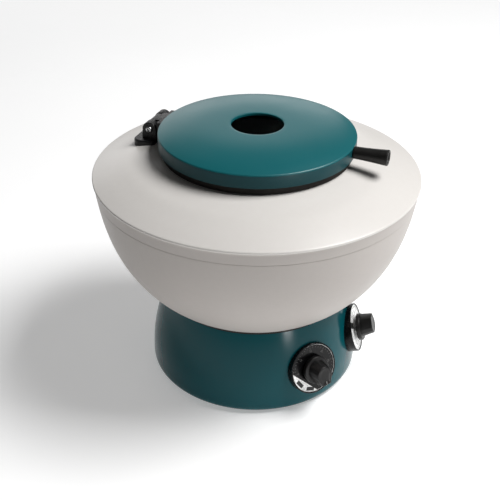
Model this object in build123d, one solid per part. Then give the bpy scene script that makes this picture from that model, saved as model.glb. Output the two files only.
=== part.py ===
from build123d import *
import math
import os

# Benchtop centrifuge with a round two-part body, a hinged lid with a vent hole,
# a four-place swing-out head and a hanging universal motor. Millimetres, +Z up,
# origin on the table under the centre of the base. The lid handle points to -Y,
# the lid hinge is at +Y, and the two dials stand on the front of the base.

# ---------------------------------------------------------------- dimensions
RIM_R = 160.0            # widest radius, at the rim of the top cover
RIM_Z = 222.0            # height of that rim
LID_R = 95.6             # radius of the lid
LID_TOP_Z = 268.4        # top of the lid, at its vent hole
LID_SKIRT_Z = 247.6      # lower edge of the lid's skirt
LID_WALL = 2.6
VENT_R = 25.4            # vent hole in the lid
BASE_WALL = 4.0
BOWL_WALL = 4.0
COVER_WALL = 3.5
FLOOR_Z = 91.0           # underside of the bowl's floor, on the base's flange

HINGE_Y, HINGE_Z = 106.5, 252.0   # hinge pin axis, along X
HINGE_HALF = 18.0

# Each dial: degrees round from -Y towards +X, distance of its face from the
# axis, height, and outer radius of its cup. Both faces lean back by DIAL_TILT.
DIALS = {"timer": (-36.8, 109.4, 46.4, 26.2), "speed": (7.0, 110.5, 49.0, 25.2)}
DIAL_TILT = 16.3
CUP_LIP = 1.3

PIVOT_R, PIVOT_Z = 52.0, 200.0    # bucket trunnion axes
PIN_R = 2.5                       # trunnion pin
PIN_CLEAR = 0.08
TUBE_BORE_R = 8.75                # takes a 17 mm centrifuge tube
SHIELD_WALL = 1.0
SHIELD_DEPTH = 86.0               # pivot to outside bottom of the tube shield

SHAFT_R = 5.0
OUT = "parts"
os.makedirs(OUT, exist_ok=True)


# ------------------------------------------------------------------- helpers
def save(shape, name):
    export_step(shape, f"{OUT}/{name}.step")


def group(*shapes):
    solids = []
    for s in shapes:
        solids += list(s.solids())
    return Compound(children=solids)


def turned(*runs):
    """Solid of revolution about Z. Each run is a list of (r, z); a run of more
    than two points marked 'S' first is a spline, otherwise straight lines."""
    edges = []
    first = last = None
    for run in runs:
        smooth = run[0] == "S"
        pts = run[1:] if smooth else run
        if last is not None and (abs(last[0] - pts[0][0]) > 1e-6 or abs(last[1] - pts[0][1]) > 1e-6):
            edges.append(Line(last, pts[0]))
        if smooth:
            edges.append(Spline(*pts))
        else:
            for a, b in zip(pts, pts[1:]):
                edges.append(Line(a, b))
        if first is None:
            first = pts[0]
        last = pts[-1]
    if abs(last[0] - first[0]) > 1e-6 or abs(last[1] - first[1]) > 1e-6:
        edges.append(Line(last, first))
    face = make_face(Wire(edges)) if not isinstance(edges[0], list) else None
    return revolve(Plane.XZ * face, Axis.Z, 360)


def offset_in(pts, d):
    """Points moved d to the right of the direction of travel."""
    out = []
    for i, (r, z) in enumerate(pts):
        a = pts[max(i - 1, 0)]
        b = pts[min(i + 1, len(pts) - 1)]
        tx, tz = b[0] - a[0], b[1] - a[1]
        n = math.hypot(tx, tz)
        out.append((r + tz / n * d, z - tx / n * d))
    return out


def tube(r_out, r_in, z0, z1):
    c = Pos(0, 0, (z0 + z1) / 2) * Cylinder(r_out, z1 - z0)
    if r_in > 0:
        c -= Pos(0, 0, (z0 + z1) / 2) * Cylinder(r_in, z1 - z0 + 2)
    return c


def block(x0, x1, y0, y1, z0, z1):
    return Pos((x0 + x1) / 2, (y0 + y1) / 2, (z0 + z1) / 2) * Box(x1 - x0, y1 - y0, z1 - z0)


def polar(r, deg, z=0.0):
    """Location at radius r, deg degrees round from +X, turned to match."""
    return Rot(0, 0, deg) * Pos(r, 0, z)


def pan_screw(r_shank, length, r_head, h_head, recess=True):
    """Screw along -Z with the underside of its head at z = 0."""
    s = Pos(0, 0, -length / 2) * Cylinder(r_shank, length)
    head = Pos(0, 0, h_head / 2) * Cylinder(r_head, h_head)
    head = fillet(head.edges().group_by(Axis.Z)[-1], h_head * 0.45)
    s = s + head
    if recess:
        s -= Pos(0, 0, h_head) * Box(r_head * 1.1, r_head * 0.28, h_head * 0.9)
        s -= Pos(0, 0, h_head) * Box(r_head * 0.28, r_head * 1.1, h_head * 0.9)
    return s


def hex_nut(af, h, bore):
    n = extrude(RegularPolygon(af / math.sqrt(3), 6), h)
    return n - Pos(0, 0, h / 2) * Cylinder(bore, h + 2)


# --------------------------------------------------------------- base housing
base_outer = [(106.0, 3.0), (108.3, 6.0), (109.0, 13.0), (107.8, 32.0), (104.2, 52.0), (99.2, 72.0), (93.8, 90.0)]
base_inner = [(p[0] - BASE_WALL, p[1]) for p in base_outer]
base_inner[-1] = (93.8 - BASE_WALL, 87.5)
base_envelope = turned(["S"] + base_outer, [(93.8, 91.0), (0, 91.0), (0, 3.0)])
base = turned(
    ["S"] + base_outer,
    [(93.8, 91.0), (68.0, 91.0), (68.0, 87.5)],
    ["S"] + base_inner[::-1],
)
boss_angles = (45, 135, 225, 315)      # bolts through the bowl's floor
foot_angles = (74.5, 164.5, 254.5, 344.5)
FOOT_R = 88.0
base_cavity = turned([(0.0, 3.0)], ["S"] + base_inner, [(0.0, 87.5)])
for a in foot_angles:
    boss = polar(FOOT_R, a, 19) * Cylinder(6.5, 22) + polar(98.0, a, 19) * Box(20.0, 5.0, 22)
    base += boss & base_envelope
    base -= polar(FOOT_R, a, 16) * Cylinder(2.1, 20)
for a in boss_angles:
    base -= polar(80.0, a, 89) * Cylinder(2.8, 8)


def dial_frame(kind):
    deg, rc, z, _ = DIALS[kind]
    az = math.radians(deg)
    t = math.radians(DIAL_TILT)
    n = Vector(math.sin(az) * math.cos(t), -math.cos(az) * math.cos(t), math.sin(t))
    e1 = Vector(math.cos(az), math.sin(az), 0)
    o = Vector(rc * math.sin(az), -rc * math.cos(az), z)
    return Plane(origin=o, x_dir=e1, z_dir=n)


frames = {k: dial_frame(k) for k in DIALS}
for k, f in frames.items():
    base -= f * (Pos(0, 0, -9) * Cylinder(5.2, 20))

# Flat panel at the back, pressed in for the mains inlet and the fuse holder.
PANEL_Y = 96.0
panel_pocket = block(-17, 37, PANEL_Y, 130, 30, 62)
panel_back = block(-19.5, 39.5, PANEL_Y - 3.0, 112, 27.5, 64.5) & base_envelope
base = (base + panel_back) - panel_pocket
base -= block(-13.6, 13.6, PANEL_Y - 10, PANEL_Y + 5, 36.0, 56.0)          # inlet cut-out
base -= Pos(27, PANEL_Y, 46) * Rot(90, 0, 0) * Cylinder(6.2, 20)           # fuse holder hole
save(base, "base_housing")

# ---------------------------------------------------------------- bottom plate
plate = tube(101.2, 0, 6.0, 8.0)
for a in foot_angles:
    plate -= polar(FOOT_R, a, 7) * Cylinder(2.4, 6)
for ring_r, n in ((30.0, 8), (48.0, 12), (66.0, 16)):
    for i in range(n):
        plate -= Rot(0, 0, 360 / n * i) * (Pos(ring_r, 0, 7) * Box(11.0, 3.2, 6))
save(plate, "bottom_plate")

feet, foot_screws = [], []
for a in foot_angles:
    foot = Pos(0, 0, 3.0) * Cone(10.5, 12.0, 6.0)
    foot = chamfer(foot.edges().group_by(Axis.Z)[0], 0.8)
    foot -= Pos(0, 0, 1.5) * Cylinder(5.2, 3.2)
    foot -= Pos(0, 0, 4.0) * Cylinder(2.1, 6)
    feet.append(polar(FOOT_R, a) * foot)
    screw = Pos(0, 0, 3.1) * (Rot(180, 0, 0) * pan_screw(2.05, 19.5, 4.4, 2.4))
    foot_screws.append(polar(FOOT_R, a) * screw)
save(group(*feet), "rubber_feet")
save(group(*foot_screws), "foot_screws")

# ------------------------------------------------------------------------ bowl
bowl_outer = [(94.8, 91.0), (105.5, 99.5), (117.0, 110.5), (131.0, 128.5), (142.0, 148.5), (150.6, 172.5), (155.8, 196.0), (157.4, 206.6)]
bowl_inner = offset_in(bowl_outer, -BOWL_WALL)
bowl_inner[0] = (92.2, FLOOR_Z + 4.0)
bowl_inner[-1] = (151.4, 206.6)
bowl = turned(
    [(26.0, FLOOR_Z), (94.8, FLOOR_Z)],
    ["S"] + bowl_outer,
    [(157.4, 207.2), (155.1, 207.2), (155.1, 218.0), (151.4, 218.0), (151.4, 206.6)],
    ["S"] + bowl_inner[::-1],
    [(92.2, FLOOR_Z + 4.0), (26.0, FLOOR_Z + 4.0)],
)
for a in boss_angles:
    bowl -= polar(80.0, a, FLOOR_Z + 2) * Cylinder(2.8, 10)
    bowl -= polar(50.0, a, FLOOR_Z + 2) * Cylinder(2.8, 10)
save(bowl, "bowl")

# Eight like bolts and nuts: four hold the bowl on the base's flange, four hang
# the motor plate under the bowl's floor.
bolts = []
for a in boss_angles:
    for r, z in ((80.0, 84.0), (50.0, 80.5)):
        b = Pos(0, 0, FLOOR_Z + 4.0) * pan_screw(2.5, 17.0, 5.0, 3.6)
        n = Pos(0, 0, z) * hex_nut(8.0, 3.5, 2.5)
        bolts += [polar(r, a) * b, polar(r, a) * n]
save(group(*bolts), "floor_bolts")

# ------------------------------------------------------------------- top cover
cover_slope = [(RIM_R - 1.0, RIM_Z), (148.0, 226.3), (134.0, 231.2), (123.0, 234.6), (116.0, 236.2), (106.0, 238.3), (93.4, 240.2)]
cover_under = offset_in(cover_slope, -COVER_WALL)
cover_under[0] = (155.1, 218.6)
cover_under[-1] = (89.4, 237.0)
cover = turned(
    [(158.0, 207.4), (158.6, 218.4), (RIM_R, 219.2), (RIM_R, 221.2), (RIM_R - 1.0, RIM_Z)],
    ["S"] + cover_slope,
    [(89.4, 240.2), (89.4, 247.0), (86.0, 247.0), (86.0, 237.0), (89.4, 237.0)],
    ["S"] + cover_under[::-1],
    [(155.1, 218.6), (155.1, 207.4)],
)
HINGE_SCREWS = ((-4.8, 118.0), (4.8, 118.0))
for x, y in HINGE_SCREWS:
    cover -= Pos(x, y, 236) * Cylinder(1.7, 20)
save(cover, "top_cover")

seal = turned([(92.3, 240.5), (92.3, 250.2), (91.3, 251.2), (84.2, 251.2), (83.2, 250.2), (83.2, 238.0), (86.0, 238.0),
               (86.0, 247.0), (89.4, 247.0), (89.4, 240.5)])
save(seal, "rim_seal")

# ------------------------------------------------------------------ inner guard
guard_outer = [(87.0, 98.6), (99.5, 104.4), (111.0, 114.6), (124.2, 131.4), (135.0, 150.5), (143.6, 174.0), (148.6, 198.0), (149.2, 214.0)]
guard_inner = offset_in(guard_outer, -1.2)
guard_inner[0] = (86.6, 99.8)
guard_inner[-1] = (148.0, 214.0)
guard = turned([(24.5, 98.6), (87.0, 98.6)], ["S"] + guard_outer, ["S"] + guard_inner[::-1], [(86.6, 99.8), (24.5, 99.8)])
save(guard, "guard_bowl")

gland = turned([(7.0, 89.0), (10.0, 89.0), (10.0, 91.0), (26.0, 91.0), (26.0, 95.0), (24.5, 95.0), (24.5, 99.8), (27.5, 99.8), (27.5, 101.4), (13.0, 101.4),
                (9.5, 116.0), (7.0, 116.0)])
save(gland, "shaft_gland")

# ----------------------------------------------------------------------- motor
mplate = tube(62.0, 20.0, 84.0, 87.0)
for a in boss_angles:
    mplate -= polar(50.0, a, 85.5) * Cylinder(2.8, 8)
for a in (0, 90, 180, 270):
    mplate -= polar(33.0, a, 85.5) * Cylinder(2.1, 8)
save(mplate, "motor_plate")

dampers = [polar(50.0, a) * tube(8.0, 2.7, 87.0, 91.0) for a in boss_angles]
save(group(*dampers), "motor_dampers")
bell_screws = []
for a in (0, 90, 180, 270):
    bell_screws.append(polar(33.0, a) * (Pos(0, 0, 87.0) * pan_screw(2.0, 7.0, 3.6, 2.4)))
save(group(*bell_screws), "motor_screws")

can = tube(44.0, 41.0, 18.0, 79.8)
for a in (0, 180):
    can -= polar(42.5, a, 25.0) * Box(10, 14, 14)
save(can, "motor_can")

top_bell = tube(44.0, 17.0, 79.8, 84.0) + tube(17.0, 13.0, 76.4, 87.6)
for i in range(8):
    top_bell -= Rot(0, 0, 22.5 + 45 * i) * (Pos(26.0, 0, 82) * Box(10, 5, 8))
for a in (0, 90, 180, 270):
    top_bell -= polar(33.0, a, 82) * Cylinder(2.0, 10)
save(top_bell, "motor_top_bell")

bottom_bell = tube(44.0, 16.0, 14.0, 18.0) + tube(16.0, 11.0, 9.6, 18.0)
for i in range(8):
    bottom_bell -= Rot(0, 0, 22.5 + 45 * i) * (Pos(28.0, 0, 16) * Box(12, 5, 8))
save(bottom_bell, "motor_bottom_bell")

lam = tube(41.0, 36.5, 36.0, 64.0)
for a in (90, 270):
    pole = Rot(0, 0, a) * Pos(30.0, 0, 50.0) * Box(16.0, 26.0, 28.0)
    horn = Rot(0, 0, a) * Pos(24.0, 0, 50.0) * Box(14.0, 40.0, 28.0)
    lam += (pole + (horn & tube(31.0, 0, 36.0, 64.0)))
lam -= tube(25.7, 0, 30.0, 70.0)
save(lam, "field_laminations")

coils = []
for a in (90, 270):
    c = tube(36.2, 31.2, 28.0, 72.0) & (Pos(34.0, 0, 50.0) * (Box(24.0, 44.0, 44.0) - Box(30.0, 26.0, 28.0)))
    coils.append(Rot(0, 0, a) * c)
save(group(*coils), "field_coils")

core = tube(25.0, SHAFT_R, 36.0, 64.0)
for i in range(12):
    core -= Rot(0, 0, 30 * i) * (Pos(21.0, 0, 50) * Box(10.0, 2.6, 40))
    core -= Rot(0, 0, 30 * i) * (Pos(17.0, 0, 50) * Cylinder(2.6, 40))
save(core, "armature_core")

windings = group(
    turned([(9.0, 64.0), (22.0, 64.0), (22.6, 67.0), (19.0, 71.4), (11.0, 71.4), (9.0, 69.0)]),
    turned([(10.5, 36.0), (22.0, 36.0), (22.6, 33.6), (19.0, 30.6), (13.0, 30.6), (10.5, 32.0)]),
)
save(windings, "armature_windings")

comm = tube(10.0, SHAFT_R, 19.0, 30.0) + tube(12.0, SHAFT_R, 28.6, 30.0)
for i in range(12):
    comm -= Rot(0, 0, 30 * i + 15) * (Pos(10.0, 0, 23.5) * Box(2.0, 0.7, 9.2))
save(comm, "commutator")

holders, brushes = [], []
for a in (0, 180):
    h = Pos(27.5, 0, 24.0) * Box(29.0, 10.0, 9.0) + Pos(43.5, 0, 25.0) * Box(5.0, 14.0, 14.0)
    h -= Pos(26.5, 0, 24.0) * Box(35.0, 6.2, 5.2)
    holders.append(Rot(0, 0, a) * h)
    br = Pos(19.1, 0, 24.0) * Box(18.0, 6.2, 5.2)
    br -= tube(10.08, 0, 10, 40)
    brushes.append(Rot(0, 0, a) * br)
save(group(*holders), "brush_holders")
save(group(*brushes), "carbon_brushes")

shaft = tube(SHAFT_R, 0, 11.0, 186.0) + tube(4.0, 0, 186.0, 214.5)
save(shaft, "motor_shaft")

bearings = group(tube(13.0, SHAFT_R + 0.05, 77.0, 85.0) - tube(10.8, 7.2, 84.2, 86.0), tube(11.0, SHAFT_R + 0.05, 10.6, 17.6) - tube(9.2, 7.0, 9.0, 11.4))
save(bearings, "motor_bearings")

fan = tube(38.0, 7.0, 73.2, 74.4) + tube(8.5, SHAFT_R, 71.8, 75.6)
for i in range(10):
    fan += Rot(0, 0, 36 * i) * (Pos(29.0, 0, 76.6) * (Rot(0, 0, 12) * Box(17.0, 1.2, 4.8)))
save(fan, "cooling_fan")

# ------------------------------------------------------------- swing-out head
YOKE_T = 12.0
yoke = tube(68.0, 4.0, PIVOT_Z - YOKE_T / 2, PIVOT_Z + YOKE_T / 2)
yoke += tube(15.0, 4.0, 186.0, PIVOT_Z + YOKE_T / 2 + 3)
for i in range(4):
    bay = Pos(52.0 + 30.0, 0, PIVOT_Z) * Box(60.0, 32.0, 40.0) + Pos(52.0, 0, PIVOT_Z) * Cylinder(16.0, 40.0)
    yoke -= Rot(0, 0, 90 * i) * bay
    # Seats for the trunnion pins, open upwards so that a bucket lifts out.
    seat = Pos(PIVOT_R, 0, PIVOT_Z) * (Rot(90, 0, 0) * Cylinder(PIN_R + PIN_CLEAR, 44.0))
    seat += Pos(PIVOT_R, 0, PIVOT_Z + 10) * Box(2 * (PIN_R + PIN_CLEAR), 44.0, 20.0)
    yoke -= Rot(0, 0, 90 * i) * seat
yoke = chamfer(yoke.edges().filter_by(GeomType.CIRCLE).filter_by(lambda e: abs(e.radius - 68.0) < 0.01), 1.2)
save(yoke, "rotor_yoke")

nut = extrude(RegularPolygon(8.2, 6), 5.0)
nut = Pos(0, 0, 209.0) * nut + Pos(0, 0, 214.0) * tube(6.4, 0, 0, 2.0)
nut = nut + Pos(0, 0, 216.0) * (Sphere(6.4) & Pos(0, 0, 5) * Box(20, 20, 10))
nut -= tube(4.0, 0, 200.0, 214.5)
save(nut, "rotor_nut")


def bucket_ring():
    ring = tube(14.2, 11.0, PIVOT_Z - 3.6, PIVOT_Z + 3.6)
    for s in (-1, 1):
        ring += Pos(0, s * 17.0, PIVOT_Z) * (Rot(90, 0, 0) * Cylinder(PIN_R, 8.4))
    ring -= tube(11.0, 0, PIVOT_Z - 10, PIVOT_Z + 10)
    return ring


def bucket_shield():
    r1 = TUBE_BORE_R + SHIELD_WALL
    z0 = PIVOT_Z - SHIELD_DEPTH
    top = PIVOT_Z + 8.0
    return turned([(0, z0), (6.0, z0), (8.6, z0 + 1.2), (r1, z0 + 4.0), (r1, PIVOT_Z - 8.0), (r1 + 1.0, PIVOT_Z - 7.0), (10.9, PIVOT_Z - 4.0), (10.9, PIVOT_Z + 3.6), (12.8, PIVOT_Z + 3.6),
                   (13.2, PIVOT_Z + 4.2), (13.2, PIVOT_Z + 5.6), (10.6, top - 1.2), (10.2, top), (TUBE_BORE_R, top),
                   (TUBE_BORE_R, z0 + 4.2), (7.4, z0 + 2.2), (5.5, z0 + 1.6), (0, z0 + 1.6)])


ring0, shield0 = bucket_ring(), bucket_shield()
for i in range(4):
    place = Rot(0, 0, 90 * i) * Pos(PIVOT_R, 0, 0)
    save(place * ring0, f"trunnion_ring_{i + 1}")
    save(place * shield0, f"tube_shield_{i + 1}")

# ------------------------------------------------------------------ lid and handle
lid_top = [(LID_R - 0.9, 261.0), (88.0, 262.9), (78.0, 265.0), (64.0, 267.0), (48.0, 268.1), (VENT_R + 0.6, LID_TOP_Z)]
lid_under = offset_in(lid_top, -LID_WALL)
lid_under = [(r, z) for r, z in lid_under]
lid_under[0] = (LID_R - LID_WALL - 0.4, 258.8)
lid_under[-1] = (VENT_R, LID_TOP_Z - LID_WALL)
lid = turned(
    [(LID_R - LID_WALL, LID_SKIRT_Z), (LID_R - 0.3, LID_SKIRT_Z), (LID_R, LID_SKIRT_Z + 0.4), (LID_R, 260.2), (LID_R - 0.9, 261.0)],
    ["S"] + lid_top,
    [(VENT_R, LID_TOP_Z - 0.6), (VENT_R, LID_TOP_Z - LID_WALL)],
    ["S"] + lid_under[::-1],
)
rib = tube(88.8, 86.4, 251.6, 261.0) & turned([(0, 240.0), (LID_R, 240.0), (LID_R, 260.2), (LID_R - 0.9, 261.0)], ["S"] + lid_top, [(0, LID_TOP_Z)])
lid += rib
HANDLE_Z = 255.2
pad = Pos(0, -93.3, HANDLE_Z) * (Rot(90, 0, 0) * Cylinder(4.4, 2.6))
lid += pad
lid -= Pos(0, -94.0, HANDLE_Z) * (Rot(90, 0, 0) * Cylinder(2.5, 10.0))
for x in (-12.7, 12.7):
    lid -= Pos(x, 95.0, 254.5) * (Rot(90, 0, 0) * Cylinder(1.6, 9.0))
save(lid, "lid")

handle_pts = [(2.5, 0.0), (5.7, 0.0), (6.0, 0.8), (6.1, 8.0), (6.6, 20.0), (7.5, 31.0), (7.6, 32.6), (7.0, 33.4), (5.2, 33.4), (4.6, 32.4), (0.0, 32.0), (0.0, 20.0), (2.5, 20.0)]
handle = turned(handle_pts)
save(Pos(0, -LID_R, HANDLE_Z) * Rot(90, 0, 0) * handle, "lid_handle")
stud = Pos(0, -LID_R, HANDLE_Z) * (Rot(90, 0, 0) * tube(2.5, 0, -6.4, 20.0))
hnut = Pos(0, -89.2, HANDLE_Z) * (Rot(90, 0, 0) * hex_nut(7.0, 2.8, 2.5))
save(group(stud, hnut), "handle_stud")

# ------------------------------------------------------------------------ hinge
lid_solid = turned([(0, 240.0), (LID_R, 240.0), (LID_R, 260.2), (LID_R - 0.9, 261.0)], ["S"] + lid_top, [(0, LID_TOP_Z)])
cover_solid = turned([(0, 200.0), (155.3, 200.0), (RIM_R, 219.2), (RIM_R, 221.2), (RIM_R - 1.0, RIM_Z)], ["S"] + cover_slope, [(0, 240.2)])


def along_x(x0, x1, r, y=HINGE_Y, z=HINGE_Z):
    return Pos((x0 + x1) / 2, y, z) * (Rot(0, 90, 0) * Cylinder(r, x1 - x0))


# Side outline of the base leaf in the Y-Z plane.
def leaf_side(x0, x1, pts):
    w = Polyline(*[(y, z) for y, z in pts], close=True)
    f = Plane(origin=(x0, 0, 0), x_dir=(0, 1, 0), z_dir=(1, 0, 0)) * make_face(w)
    return extrude(f, x1 - x0)


PLATE_Z = 241.8
leaf = block(-25.5, 25.5, 98.6, 122.8, 228.0, PLATE_Z)
leaf = fillet(leaf.edges().filter_by(Axis.Z).group_by(Axis.Y)[-1], 8.0)
leaf = fillet(leaf.edges().filter_by(Axis.Z).group_by(Axis.Y)[0], 3.0)
leaf = fillet(leaf.edges().group_by(Axis.Z)[-1], 1.4)
for x0, x1 in ((-18.2, -9.4), (9.4, 18.2)):
    leaf += leaf_side(x0, x1, [(99.5, 240.0), (114.2, 240.0), (113.9, 250.0), (106.5, 258.0), (99.5, 252.0)])
    leaf += along_x(x0, x1, 7.2)
for x, y in HINGE_SCREWS:
    leaf -= Pos(x, y, 236.0) * Cylinder(1.7, 20.0)
leaf -= cover_solid
leaf -= along_x(-30, 30, 2.5)
save(leaf, "hinge_base_leaf")

lid_leaf = along_x(-9.1, 9.1, 6.6)
lid_leaf += leaf_side(-9.1, 9.1, [(91.0, 248.6), (104.0, 246.4), (106.5, 245.6), (106.5, 258.5), (98.8, 259.8), (91.0, 259.8)])
lid_leaf += leaf_side(-17.4, 17.4, [(88.0, 248.6), (98.7, 248.6), (98.7, 259.8), (88.0, 259.8)])
lid_leaf -= lid_solid
lid_leaf -= along_x(-30, 30, 2.57)
for x in (-12.7, 12.7):
    lid_leaf -= Pos(x, 97.0, 254.5) * (Rot(90, 0, 0) * Cylinder(1.6, 12.0))
    lid_leaf -= Pos(x, 98.7, 254.5) * (Rot(90, 0, 0) * Pos(0, 0, 0.75) * Cone(3.0, 1.6, 1.5))
save(lid_leaf, "hinge_lid_leaf")

pin = along_x(-18.2, 18.6, 2.5) + along_x(-20.0, -18.2, 3.5) + along_x(18.2, 19.6, 3.3)
pin -= along_x(-20.5, -19.2, 1.3)
save(pin, "hinge_pin")

base_screws = [Pos(x, y, PLATE_Z) * pan_screw(1.7, 12.0, 3.0, 2.0) for x, y in HINGE_SCREWS]
lid_screws = []
for x in (-12.7, 12.7):
    cs = Pos(0, 0, -0.75) * Cone(1.6, 3.0, 1.5) + Pos(0, 0, -4.5) * Cylinder(1.6, 8.0)
    cs -= Box(4.4, 0.9, 1.2)
    lid_screws.append(Pos(x, 98.7, 254.5) * (Rot(-90, 0, 0) * cs))
save(group(*base_screws), "hinge_base_screws")
save(group(*lid_screws), "hinge_lid_screws")

# ------------------------------------------------------------------------ dials
BODY_FACE = -15.6


def grip_outline(r, nose, nose_w, shift):
    """Round grip drawn out to a blunt nose along +X."""
    pts = []
    for i in range(25):
        t = math.radians(60 + 10.0 * i)
        pts.append((shift + r * math.cos(t), r * math.sin(t)))
    pts += [(nose - 1.5, -nose_w), (nose, -nose_w + 1.5), (nose, nose_w - 1.5), (nose - 1.5, nose_w)]
    return make_face(Polyline(*pts, close=True))


nuts = []
for kind, f in frames.items():
    cup_r = DIALS[kind][3]
    plate_r = cup_r - CUP_LIP
    cup = tube(cup_r, 0, -16.0, 0.6)
    cup = fillet(cup.edges().group_by(Axis.Z)[-1], 0.5)
    cup -= tube(plate_r, 0, -0.9, 3.0)
    cup -= tube(5.2, 0, -20.0, 3.0)
    cup = (f * cup) - base_envelope
    save(cup, f"{kind}_dial_cup")
    face = tube(plate_r, 5.2, -0.9, -0.1)
    save(f * face, f"{kind}_dial_plate")
    if kind == "timer":
        body = Pos(0, 0, BODY_FACE - 10.0) * Cylinder(17.0, 20.0)
        body += Pos(0, 0, BODY_FACE - 21.0) * Box(14.0, 20.0, 2.0)
    else:
        body = Pos(0, 0, BODY_FACE - 10.0) * Box(32.0, 32.0, 20.0)
        body += Pos(0, -10.0, BODY_FACE - 21.5) * Box(22.0, 5.0, 3.0)
    spacer = (f * tube(9.0, 0, BODY_FACE, -5.0)) & base_cavity
    body = f * (body + tube(4.8, 0, BODY_FACE, 2.4)) + spacer
    body -= f * tube(3.08, 0, BODY_FACE - 16.0, 5.0)
    save(body, "speed_regulator" if kind == "speed" else "timer_movement")
    nuts.append(f * (Pos(0, 0, -0.1) * hex_nut(12.0, 2.3, 4.8)))
    spindle = tube(3.0, 0, BODY_FACE - 15.0, 14.0)
    save(f * spindle, f"{kind}_spindle")
    knob = turned([(0.0, 7.0), (13.4, 7.0), (14.0, 6.2), (14.0, 2.6), (8.6, 2.6), (8.6, 4.6), (0.0, 4.6)])
    low = Pos(0, 0, 6.0) * grip_outline(10.6, 12.6, 6.4, 0.0)
    high = Pos(0, 0, 19.2) * grip_outline(8.6, 12.9, 5.2, 1.6)
    knob += loft(Sketch() + [low, high], ruled=True)
    knob -= tube(3.0, 0, 0.0, 14.0)
    turn = 90.0 if kind == "speed" else -84.0
    save(f * (Rot(0, 0, turn) * knob), f"{kind}_knob")
save(group(*nuts), "dial_nuts")

# ------------------------------------------------------- mains inlet at the back
inlet = block(-15.2, 15.2, PANEL_Y, PANEL_Y + 2.6, 34.4, 57.6)
inlet = fillet(inlet.edges().filter_by(Axis.Y), 2.0)
inlet += block(-13.4, 13.4, PANEL_Y - 16.0, PANEL_Y + 1.0, 36.2, 55.8)
inlet -= block(-12.1, 12.1, PANEL_Y - 14.5, PANEL_Y + 4.0, 38.0, 54.0)
inlet = inlet + (block(-12.6, 12.6, PANEL_Y - 16.0, PANEL_Y - 14.0, 37.0, 55.0))
for x, z in ((-7.0, 44.0), (7.0, 44.0), (0.0, 48.0)):
    inlet -= block(x - 1.0, x + 1.0, PANEL_Y - 18.0, PANEL_Y - 13.0, z - 2.0, z + 2.0)
save(inlet, "mains_inlet")
blades = []
for x, z in ((-7.0, 44.0), (7.0, 44.0), (0.0, 48.0)):
    blades.append(block(x - 1.0, x + 1.0, PANEL_Y - 22.0, PANEL_Y - 1.5, z - 2.0, z + 2.0))
save(group(*blades), "inlet_blades")
fuse = Pos(27, 0, 46) * (Rot(-90, 0, 0) * (tube(7.8, 0, PANEL_Y, PANEL_Y + 2.0) + tube(6.4, 0, PANEL_Y + 2.0, PANEL_Y + 8.0) + tube(6.0, 0, PANEL_Y - 24.0, PANEL_Y)))
fuse -= block(26.2, 27.8, PANEL_Y + 6.8, PANEL_Y + 12, 41.5, 50.5)
save(fuse, "fuse_holder")

# ------------------------------------------------- speed control board on the floor
board = block(-62.0, -50.0, -28.0, 28.0, 12.0, 13.6)
board += block(-74.0, -50.0, -28.0, 28.0, 12.0, 13.6)
board += Pos(-58.0, -18.0, 18.6) * Cylinder(5.0, 10.0)
board += Pos(-58.0, 0.0, 17.6) * Box(8.0, 14.0, 8.0)
board += Pos(-70.0, 20.0, 16.6) * Box(5.0, 10.0, 6.0)
for x, y in ((-72.0, -26.0), (-52.0, -26.0), (-72.0, 26.0), (-52.0, 26.0)):
    board += Pos(x, y, 10.0) * Cylinder(1.9, 4.0)
save(board, "control_board")
sink = block(-73.0, -70.6, -22.0, 10.0, 13.6, 34.0)
for i in range(5):
    sink += block(-78.0, -73.0, -21.0 + 7.4 * i, -19.6 + 7.4 * i, 15.0, 34.0)
save(sink, "heat_sink")
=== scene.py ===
import bpy, bmesh, math
from mathutils import Matrix, Vector


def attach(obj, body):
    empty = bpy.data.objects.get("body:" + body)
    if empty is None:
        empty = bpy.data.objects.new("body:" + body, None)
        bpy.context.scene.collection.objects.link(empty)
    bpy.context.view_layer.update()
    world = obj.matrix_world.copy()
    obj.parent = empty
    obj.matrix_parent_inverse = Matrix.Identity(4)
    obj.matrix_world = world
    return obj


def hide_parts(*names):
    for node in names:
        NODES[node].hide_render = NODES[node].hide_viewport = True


# Benchtop centrifuge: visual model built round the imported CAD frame.
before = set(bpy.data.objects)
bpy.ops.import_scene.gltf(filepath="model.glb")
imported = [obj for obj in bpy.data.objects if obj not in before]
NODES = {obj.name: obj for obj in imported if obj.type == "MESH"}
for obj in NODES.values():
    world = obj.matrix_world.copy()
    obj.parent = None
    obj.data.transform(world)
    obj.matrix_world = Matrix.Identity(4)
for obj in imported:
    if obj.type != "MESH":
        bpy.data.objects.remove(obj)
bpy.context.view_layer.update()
MM = 0.001

# ----------------------------------------------------------------- camera
# Height and distance of the viewpoint, then the small turns of the view.
VIEW_AZ, YAW, PITCH, ROLL = math.radians(-70.0), -0.007, 0.549, 0.013
DIST, HEIGHT, FOCAL_PX = 0.7952, 0.6133, 900.0


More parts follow.
